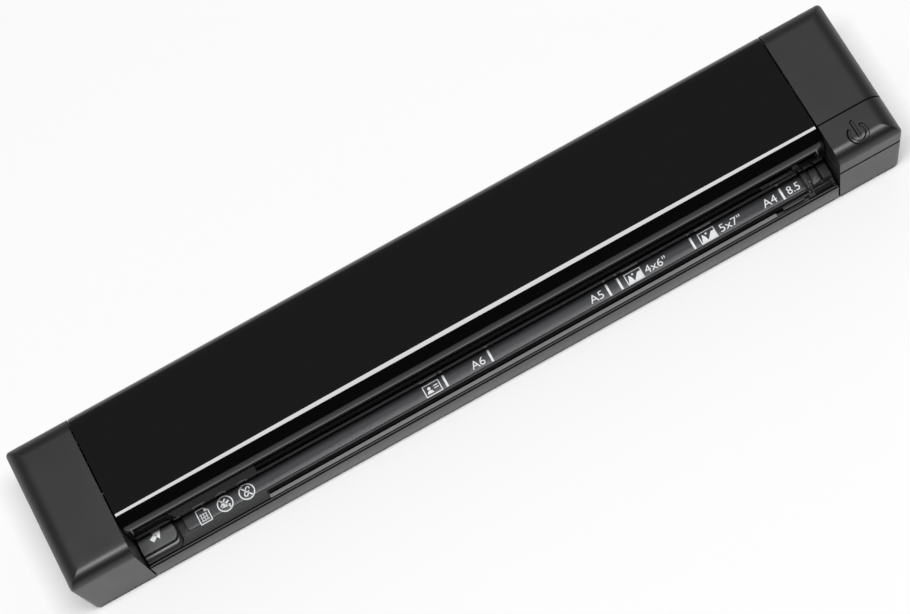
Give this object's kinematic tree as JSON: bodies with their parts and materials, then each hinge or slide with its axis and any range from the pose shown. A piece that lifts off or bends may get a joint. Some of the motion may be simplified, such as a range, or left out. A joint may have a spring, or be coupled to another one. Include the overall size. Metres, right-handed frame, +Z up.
{
  "type": "portable document scanner",
  "caption": "Slim sheet-fed document scanner: glossy cover over a roller feed, printed tray with a sliding paper guide, matte end caps and a corner power button.",
  "frame": {"origin": "middle of the footprint, on the surface that the feet stand on", "axes": "+X along the machine towards the power button, +Y from the tray towards the back, +Z up"},
  "size_m": [0.291, 0.051, 0.0355],
  "materials": {
    "cap_plastic": "fine matte grain, dark grey",
    "gloss_black": "polished, black",
    "base_plastic": "fine matte grain, dark grey",
    "tray_satin": "satin, near black",
    "strip_print": "satin film with printed marks",
    "pad_plastic": "fine grain, dark grey",
    "guide_plastic": "satin, dark grey",
    "inner_black": "matte, black",
    "platen_white": "satin, white",
    "lever_plastic": "satin, off-white",
    "gear_plastic": "satin, natural acetal",
    "pinch_plastic": "satin, black acetal",
    "bush_plastic": "satin, black acetal",
    "shaft_steel": "ground steel",
    "screw_steel": "zinc, darkened",
    "spring_steel": "drawn wire",
    "frame_steel": "zinc plated sheet",
    "motor_steel": "plated can",
    "socket_steel": "plated shell",
    "roller_rubber": "ground rubber",
    "foot_rubber": "matte rubber",
    "sensor_glass": "clear glass",
    "light_clear": "clear acrylic",
    "board_green": "solder mask, green",
    "ribbon_white": "flat cable, white"
  },
  "bodies": {
    "housing": {"base_housing": "base_plastic", "lower_guide": "tray_satin", "size_strip": "strip_print", "white_platen": "platen_white", "left_pad": "pad_plastic", "foot_1": "foot_rubber", "foot_2": "foot_rubber", "foot_3": "foot_rubber", "foot_4": "foot_rubber", "left_end_cap": "cap_plastic", "right_end_cap": "cap_plastic", "cap_screw_1": "screw_steel", "cap_screw_2": "screw_steel", "cap_screw_3": "screw_steel", "cap_screw_4": "screw_steel", "top_cover": "gloss_black", "left_side_frame": "frame_steel", "right_side_frame": "frame_steel", "feed_bush_left": "bush_plastic", "feed_bush_right": "bush_plastic", "exit_bush_left": "bush_plastic", "exit_bush_right": "bush_plastic", "upper_guide": "inner_black", "sensor_spring_1": "spring_steel", "sensor_spring_2": "spring_steel", "gear_plate": "frame_steel", "motor": "motor_steel", "circuit_board": "board_green", "button_switch": "inner_black", "usb_socket": "socket_steel", "sensor_ribbon": "ribbon_white"},
    "power_button": {"power_button": "cap_plastic"},
    "paper_guide": {"paper_guide": "guide_plastic"},
    "feed_roller": {"feed_shaft": "shaft_steel", "feed_tyre_1": "roller_rubber", "feed_tyre_2": "roller_rubber", "feed_tyre_3": "roller_rubber", "feed_gear": "gear_plastic"},
    "exit_roller": {"exit_shaft": "shaft_steel", "exit_tyre_1": "roller_rubber", "exit_tyre_2": "roller_rubber", "exit_tyre_3": "roller_rubber", "exit_gear": "gear_plastic"},
    "idler_gear": {"idler_gear": "gear_plastic"},
    "compound_gear": {"compound_gear": "gear_plastic"},
    "motor_pinion": {"motor_pinion": "gear_plastic"},
    "feed_pinch": {"feed_pinch_shaft": "shaft_steel", "feed_pinch_roller_1": "pinch_plastic", "feed_pinch_roller_2": "pinch_plastic", "feed_pinch_roller_3": "pinch_plastic"},
    "exit_pinch": {"exit_pinch_shaft": "shaft_steel", "exit_pinch_roller_1": "pinch_plastic", "exit_pinch_roller_2": "pinch_plastic", "exit_pinch_roller_3": "pinch_plastic"},
    "paper_lever": {"paper_lever": "lever_plastic"},
    "sensor": {"sensor_housing": "inner_black", "sensor_glass": "sensor_glass", "rod_lens_array": "inner_black", "light_guide": "light_clear", "sensor_board": "board_green"}
  },
  "joints": [
    {"name": "button_press", "type": "slide", "parent": "housing", "child": "power_button", "axis": [0, 0, -1], "range_m": [0, 0.0005], "stiffness_N_per_m": 500, "springref_m": -0.0006},
    {"name": "paper_guide_slide", "type": "slide", "parent": "housing", "child": "paper_guide", "axis": [-1, 0, 0], "range_m": [0, 0.1825]},
    {"name": "feed_roller_spin", "type": "hinge", "parent": "housing", "child": "feed_roller", "pos_m": [0, -0.008, 0.0077], "axis": [1, 0, 0], "continuous": true},
    {"name": "exit_roller_spin", "type": "hinge", "parent": "housing", "child": "exit_roller", "pos_m": [0, 0.0166, 0.0077], "axis": [1, 0, 0], "continuous": true},
    {"name": "idler_spin", "type": "hinge", "parent": "housing", "child": "idler_gear", "pos_m": [-0.1263, 0.0043, 0.01326], "axis": [1, 0, 0], "continuous": true},
    {"name": "compound_spin", "type": "hinge", "parent": "housing", "child": "compound_gear", "pos_m": [-0.1277, -0.00696, 0.01976], "axis": [1, 0, 0], "continuous": true},
    {"name": "motor_spin", "type": "hinge", "parent": "housing", "child": "motor_pinion", "pos_m": [-0.1297, 0.00486, 0.02185], "axis": [1, 0, 0], "continuous": true},
    {"name": "feed_pinch_spin", "type": "hinge", "parent": "housing", "child": "feed_pinch", "pos_m": [0, -0.008, 0.01595], "axis": [1, 0, 0], "continuous": true},
    {"name": "exit_pinch_spin", "type": "hinge", "parent": "housing", "child": "exit_pinch", "pos_m": [0, 0.0166, 0.01595], "axis": [1, 0, 0], "continuous": true},
    {"name": "lever_swing", "type": "hinge", "parent": "housing", "child": "paper_lever", "pos_m": [-0.06386, -0.011, 0.018], "axis": [1, 0, 0], "range_deg": [0, 20], "stiffness_Nm_per_rad": 0.00002, "springref_deg": -17.19},
    {"name": "sensor_float", "type": "slide", "parent": "housing", "child": "sensor", "axis": [0, 0, 1], "range_m": [0, 0.0004], "stiffness_N_per_m": 400, "springref_m": -0.002, "deforming": ["sensor_spring_1", "sensor_spring_2"]}
  ],
  "couplings": [
    {"joint": "idler_spin", "follows": "feed_roller_spin", "ratio": -0.42105},
    {"joint": "exit_roller_spin", "follows": "feed_roller_spin", "ratio": 1},
    {"joint": "compound_spin", "follows": "feed_roller_spin", "ratio": 1.1429},
    {"joint": "motor_spin", "follows": "feed_roller_spin", "ratio": -3.4286}
  ]
}
